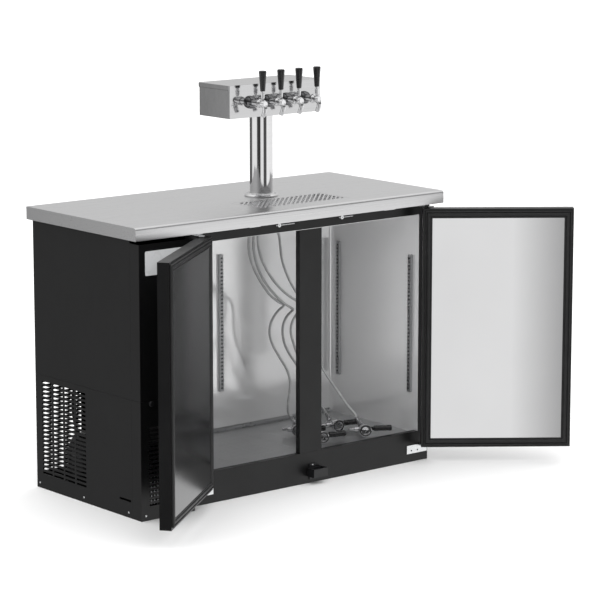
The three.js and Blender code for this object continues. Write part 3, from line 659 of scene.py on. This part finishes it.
def add_faucet(i):
    x = TAP["first"] + (i - 1) * TAP["pitch"]
    face = -TOWER["half"]
    body = bmesh.new()
    outward = at(x, 0, TAP["z"], ("X", 90))  # +Z of a turned piece looks to -Y
    add_turned(body, [(0, 60), (10.5, 60), (10.5, -face + 60), (0, -face + 60)], 40, outward)
    collar = bmesh.new()
    add_turned(collar, [(10.8, -face + 0.1), (21, -face + 0.1), (21, -face + 2.5), (20, -face + 8.5),
                        (15, -face + 12.2), (10.8, -face + 12.2), (10.8, -face + 0.1)], 48, outward)
    finished(f"faucet_collar_{i}", collar, M["collar"])
    add_turned(body, [(0, 122), (13.2, 122), (14, 123), (14, 132), (13, 133.4), (11, 135), (11, 157), (9,
        160),
                      (0, 160)], 40, outward)
    for k in range(6):
        notch = at(x, 0, TAP["z"], ("X", 90), ("Z", 60 * k))
        add_block(body, (-2, 12.6, 124), (2, 14.6, 131), notch)
    add_turned(body, [(0, -8), (8.6, -8), (9.4, -6), (9.8, 4), (8.6, 11), (6.8, 12), (0, 12)], 40,
               at(x, TAP["y"], TAP["z"]))
    finished(f"faucet_valve_{i}", body, M["chrome"], instead=[f"faucet_{i}"], bevel=0.3)
    spout = bmesh.new()
    route = smooth_route([(x, -146, 1243), (x, -154, 1239), (x, -158, 1231), (x, -156, 1221), (x, -151, 1212),
                          (x, -148, 1206)], 6)
    add_tube(spout, route, [8.6 - 1.9 * k / (len(route) - 1) for k in range(len(route))], 32)
    finished(f"faucet_spout_{i}", spout, M["chrome"])
    place = at(x, TAP["y"], TAP["z"] + TAP["pivot"])
    ferrule = bmesh.new()
    add_turned(ferrule, [(0, -6), (2.6, -5.4), (4.6, -3.8), (6, 0), (6.5, 13.4), (5, 15), (5, 20), (6.9, 22),
                         (0, 22)], 40, place)
    finished(f"tap_ferrule_{i}", ferrule, M["chrome"], f"tap_lever_{i}")
    grip = bmesh.new()
    add_turned(grip, [(0, 22), (7.6, 22), (8.1, 24), (9.9, 50), (12.3, 82), (12, 85), (10.6, 86.9), (7, 87.5),
                      (0, 87.5)], 40, place)
    finished(
        f"tap_grip_{i}", grip, M["grip"], f"tap_lever_{i}", [f"tap_handle_{i}"], crease=40
    )


# ---------------------------------------------------------------- cold room
ROOM = {"left": -363, "right": 571, "back": 206, "floor": 95, "ceiling": 842, "front": -243.7}
FLOOR_SEAM = 70  # between the front-to-back joints of the floor sheet


def add_room():
    """Walls folded from one sheet round coved corners, a ceiling with the port, and a seamed floor."""
    skin, cove = 1.2, 14
    left, right, back, front = ROOM["left"], ROOM["right"], ROOM["back"], ROOM["front"]

    def wall_line(grow, radius):
        points = [(left - grow, front)]
        for cx, sign in ((left + cove, -1), (right - cove, 1)):
            for k in range(9):
                t = math.radians(90 * k / 8)
                turn = (math.pi - t) if sign < 0 else (math.pi / 2 - t)
                points.append((cx + (radius) * math.cos(turn), back - cove + radius * math.sin(turn)))
        points.append((right + grow, front))
        return points

    inner = wall_line(0, cove)
    outer = wall_line(skin, cove + skin)
    walls = bmesh.new()
    add_prism(walls, outer + inner[::-1], ROOM["floor"], ROOM["ceiling"])
    notch = bmesh.new()
    add_block(notch, (-700, -246, 0), (700, -223.7, 103.3))
    finished("room_walls", carved(walls, notch), M["liner"], instead=["interior_liner"])
    ceiling = bmesh.new()
    add_block(ceiling, (left, front, ROOM["ceiling"] + 0.1), (right, back, ROOM["ceiling"] + 1.2))
    port = bmesh.new()
    add_turned(port, [(0, 800), (42, 800), (42, 900), (0, 900)], 48, at(TOWER["x"], 0, 0))
    finished("room_ceiling", carved(ceiling, port), M["liner"], bevel=0.2)
    floor = bmesh.new()
    z = ROOM["floor"]
    outline = [(right, z - 1.2), (right, z)]
    x = right - FLOOR_SEAM / 2
    while x > left + 8:
        outline += [(x + 0.9, z), (x + 0.4, z - 0.8), (x - 0.4, z - 0.8), (x - 0.9, z)]
        x -= FLOOR_SEAM
    outline += [(left, z), (left, z - 1.2)]
    turned_y = Matrix(((1, 0, 0, 0), (0, 0, -1, 0), (0, 1, 0, 0), (0, 0, 0, 1)))
    add_prism(floor, outline, -back, 223.7, turned_y)
    finished("room_floor", floor, M["floor_sheet"], crease=20)
    cover = bmesh.new()
    add_block(cover, (56, -223.9, 104), (146, -222.8, 841))
    finished("mullion_back", cover, M["plate"], bevel=0.3)
    coving = bmesh.new()
    section = [(back, z), (back, z + 12), (back - 1.5, z + 12), (back - 2.5, z + 7), (back - 7, z + 2.5),
               (back - 12, z + 1.5), (back - 12, z)]
    add_prism(coving, section, left + 2, right - 2, RAIL)
    finished("room_coving", coving, M["strip"], bevel=0.4)


# ---------------------------------------------------------------- doors
DOOR_OPEN = 142  # degrees, the rest pose
DOOR = {"width": 502, "edge": 24, "thick": 37, "proud": 7, "bottom": 59, "top": 870, "y": -284}
DOOR_X = {"left": -380, "right": 582}
GASKET_SECTION = [
    (8, 30.3), (8, 34.6), (9, 35.9), (10.6, 35.9), (11.6, 34.2), (12.4, 32.2), (13.6, 32.2), (14.4, 34.4),
    (16, 36.2), (22.6, 36.2), (24.4, 34.6), (25.4, 32.2), (27, 32.2), (27.8, 33.8), (29, 34.4), (30.6, 33.8),
    (31.4, 32.6), (31.4, 30.3),
]


def door_frame(side):
    """A door's placing matrix, its closed span along X, and its sense: 1 for left-hung."""
    hand = 1 if side == "left" else -1
    place = at(DOOR_X[side], DOOR["y"], 0, ("Z", -hand * DOOR_OPEN))
    near, far = -DOOR["edge"], DOOR["width"] - DOOR["edge"]
    return place, (near, far) if hand > 0 else (-far, -near), hand


def add_door(side):
    place, span, hand = door_frame(side)
    heights = (DOOR["bottom"], DOOR["top"])
    seal = bmesh.new()
    add_mitred(seal, span, heights, GASKET_SECTION, place)
    finished(
        f"{side}_gasket_ring", seal, M["rubber"], f"{side}_door", [f"{side}_door_gasket"], crease=50
    )
    bezel = bmesh.new()
    x0 = hand * 428 if hand > 0 else hand * 462
    add_mitred(bezel, (x0, x0 + 34), (559, 721), [(0, -7.9), (0, -6.9), (2.6, -6.9), (2.6, -7.9), (1.3,
        -8.3)], place)
    finished(f"{side}_grip_trim", bezel, M["plastic"], f"{side}_door")
    lock = bmesh.new()
    lock_x = hand * 448
    add_turned(lock, [(0, 0), (9, 0), (9, 1.4), (8, 2.2), (4.6, 2.2), (4.2, 1), (0, 1)], 40,
               place @ facing(lock_x, -DOOR["proud"], 810, "-Y"))
    finished(f"{side}_lock_face", lock, M["zinc"], f"{side}_door")


# ---------------------------------------------------------------- machine bay
BAY = {"left": -617, "right": -409.3, "front": -286.5, "back": 286}


def add_bay_fittings():
    side_screws = [facing(BAY["left"], y, 16, "-X") for y in (270, 23, -219)]
    add_screws("vent_panel_screws", side_screws)
    add_screws("front_screws", [facing(x, BAY["front"], 16, "-Y") for x in (-600, -425)])
    add_screws("rear_grille_screws", [
        facing(x, BAY["back"], z, "+Y") for x in (-602, -422) for z in (20, 440, 865)
    ])
    badge = bmesh.new()
    add_prism(badge, oblong(163, 76, 5, 6), 0, 1.2, facing(-512.5, BAY["front"], 809, "-Y"))
    finished("blank_badge", badge, M["plate"], bevel=0.4)
    knob = bmesh.new()
    add_turned(knob, [(0, 0), (6, 0), (6, 3), (8.4, 4), (8.8, 9), (7.6, 11), (0, 11.6)], 36,
               facing(-580, BAY["front"], 371, "-Y"))
    finished("panel_knob", knob, M["plastic"])
    window = bmesh.new()
    add_prism(window, oblong(40, 16, 2.5), 0, 0.8, facing(-517, -300.8, 347, "-Y"))
    finished("controller_window", window, M["grip"], bevel=0.2)
    buttons = bmesh.new()
    for k in range(4):
        add_turned(buttons, [(0, 0), (2.4, 0), (2.4, 0.8), (1.6, 1.3), (0, 1.3)], 20,
                   facing(-532 + 10 * k, -300.8, 332, "-Y"))
    finished("controller_buttons", buttons, M["zinc"])
    pipes = bmesh.new()
    add_tube(pipes, smooth_route([(-512, 95, 170), (-512, 70, 200), (-500, 20, 215), (-480, -60, 190),
                                  (-470, -150, 180), (-466, -200, 190)]), 4, 20)
    add_tube(pipes, smooth_route([(-545, 130, 170), (-560, 150, 230), (-540, 180, 330), (-470, 190, 420),
                                  (-430, 180, 470)]), 5, 20)
    finished("refrigerant_pipes", pipes, M["pipe"])
    dome = bmesh.new()
    add_turned(dome, [(0, 0), (82, 0), (82, 4), (80, 8), (74, 14), (74.5, 60), (76, 64), (77.5, 66), (77.5,
        70),
                      (76, 72), (75.5, 118), (72, 136), (64, 156), (50, 170), (34, 178), (16, 181.4), (0,
                          182)],
               64, at(-512, 130, 14.3))
    finished("compressor_dome", dome, M["enamel"], instead=["compressor"])


def add_front_fittings():
    keeper_screws = [facing(107, -247.3, z, "-Y") for z in (59, 19.6)]
    add_screws("keeper_screws", keeper_screws)
    plates = bmesh.new()
    for x0, x1 in ((-154, -109), (414, 463)):
        add_block(plates, (x0, -247, 871), (x1, -244.2, 877.5))
    for x0, x1 in ((-45, 31), (218, 278)):
        add_tube(plates, [(x0, -245.7, 867), (x1, -245.7, 867)], 1.4, 16)
        add_turned(plates, [(2.4, 0), (6.4, 0), (6.4, 2.6), (2.4, 2.6), (2.4, 0)], 32, facing(x0 + 14,
            -244.3, 867, "-Y"))
    finished("header_catches", plates, M["zinc"], bevel=0.3)


# ---------------------------------------------------------------- finishes of the CAD nodes that show as they are
DRESSED = {
    "black": ["wall_floor", "wall_rear", "wall_ceiling", "wall_right", "wall_divider", "mullion",
        "bay_side_panel",
              "bay_vent_panel", "bay_front_panel", "bay_front_grille", "bay_base", "bay_rear_grille"],
    "door_black": ["left_door_shell", "right_door_shell"],
    "door_liner": ["right_door_liner"],
    "left_door_liner": ["left_door_liner"],
    "tray": ["drip_tray"],
    "strip": ["pilaster_rear", "pilaster_right_rear", "pilaster_right_front"],
    "liner": ["evaporator"],
    "fins": ["condenser"],
    "plastic": ["power_gland", "controller", "power_switch", "condenser_fan", "evaporator_fan",
        "lock_keeper"],
    "zinc": ["left_hinge_lower", "left_hinge_upper", "right_hinge_lower", "right_hinge_upper"],
}
EDGE = {"left_door_shell": 2.0, "right_door_shell": 2.0, "lock_keeper": 1.2, "mullion": 1.5,
    "controller": 1.5}
THIN_EDGE = 0.5


def dress_nodes():
    for finish, names in DRESSED.items():
        for name in names:
            node = NODES[name]
            node.data.materials.clear()
            node.data.materials.append(M[finish])
            soft = node.modifiers.new("edges", "BEVEL")
            soft.width = EDGE.get(name, THIN_EDGE) * MM
            soft.segments = 2
            soft.limit_method = "ANGLE"
            soft.angle_limit = math.radians(50)
            soft.harden_normals = True


# ---------------------------------------------------------------- stage
def add_world():
    """A studio all round: soft boxes as bands of azimuth, one set below the horizon and one above."""
    world = bpy.data.worlds.new("studio")
    bpy.context.scene.world = world
    world.use_nodes = True
    tree = world.node_tree
    coords = tree.nodes.new("ShaderNodeTexCoord")
    split = tree.nodes.new("ShaderNodeSeparateXYZ")
    tree.links.new(coords.outputs["Generated"], split.inputs["Vector"])
    azimuth = tree.nodes.new("ShaderNodeMath")
    azimuth.operation = "ARCTAN2"
    tree.links.new(split.outputs["Y"], azimuth.inputs[0])
    tree.links.new(split.outputs["X"], azimuth.inputs[1])
    share = ranged(tree, azimuth.outputs["Value"], 0, 1, -math.pi, math.pi)

    def bands(stops):
        ramp = tree.nodes.new("ShaderNodeValToRGB")
        elements = ramp.color_ramp.elements
        while len(elements) > 1:
            elements.remove(elements[-1])
        for k, (degrees, level) in enumerate(stops):
            element = elements[0] if k == 0 else elements.new((degrees + 180) / 360)
            element.position = (degrees + 180) / 360
            element.color = (level, level, level, 1)
        tree.links.new(share, ramp.inputs["Fac"])
        return ramp.outputs["Color"]

    def mixed(factor, a, b):
        mix = tree.nodes.new("ShaderNodeMix")
        mix.data_type = "RGBA"
        tree.links.new(factor, mix.inputs["Factor"])
        for colour, socket in ((a, mix.inputs["A"]), (b, mix.inputs["B"])):
            if isinstance(colour, float):
                socket.default_value = (colour, colour, colour, 1)
            else:
                tree.links.new(colour, socket)
        return mix.outputs["Result"]

    below = bands([(-180, 1.0), (-172, 0.9), (-168, 0.07), (-148, 0.05), (-138, 0.03), (-133, 0.95), (-108,
        1.0),
                   (-103, 0.09), (-78, 0.09), (-70, 1.1), (20, 1.0), (48, 0.8), (54, 0.14), (126, 0.14),
                       (134, 1.0)])
    above = bands([(-180, 0.5), (-140, 0.14), (-60, 0.12), (-10, 0.45), (30, 0.72), (60, 0.62), (100, 0.40),
        (160, 0.5)])
    rise = ranged(tree, split.outputs["Z"], 0, 1, -0.03, 0.05)
    overhead = ranged(tree, split.outputs["Z"], 0, 1, 0.35, 0.75)
    colour = mixed(overhead, mixed(rise, below, above), 1.0)
    background = tree.nodes["Background"]
    tree.links.new(colour, background.inputs["Color"])
    background.inputs["Strength"].default_value = 1.0


def add_floor():
    size = 60000
    bm = bmesh.new()
    corners = [(-size, -size), (size, -size), (size, size), (-size, size)]
    bm.faces.new([bm.verts.new((x, y, -0.5)) for x, y in corners])
    bmesh.ops.scale(bm, vec=(MM, MM, MM), verts=bm.verts)
    mesh = bpy.data.meshes.new("studio_floor")
    bm.to_mesh(mesh)
    bm.free()
    floor = bpy.data.objects.new("studio_floor", mesh)
    mesh.materials.append(make_material("pale_floor", (0.93, 0.93, 0.93), 0.005, (0.8, 0.9), tint=(0.5, 0.5,
        0.5)))
    bpy.context.scene.collection.objects.link(floor)
    floor.visible_glossy = False


def add_sun():
    """Wide soft light from above, even over the whole floor."""
    data = bpy.data.lights.new("overhead", "SUN")
    data.energy = 2.6
    data.angle = math.radians(110)
    light = bpy.data.objects.new("overhead", data)
    light.rotation_euler = (math.radians(18), math.radians(-8), 0)
    light.visible_glossy = False
    bpy.context.scene.collection.objects.link(light)


def add_stage():
    add_world()
    add_floor()
    add_sun()
    bpy.context.scene.view_settings.view_transform = "Standard"


# ---------------------------------------------------------------- assembly
add_camera()
dress_nodes()
add_worktop()
add_grate()
add_tower()
for tap in TAPS:
    add_faucet(tap)
    add_hose(tap, add_coupler(tap))
add_room()
for door_side in ("left", "right"):
    add_door(door_side)
add_bay_fittings()
add_front_fittings()
add_stage()
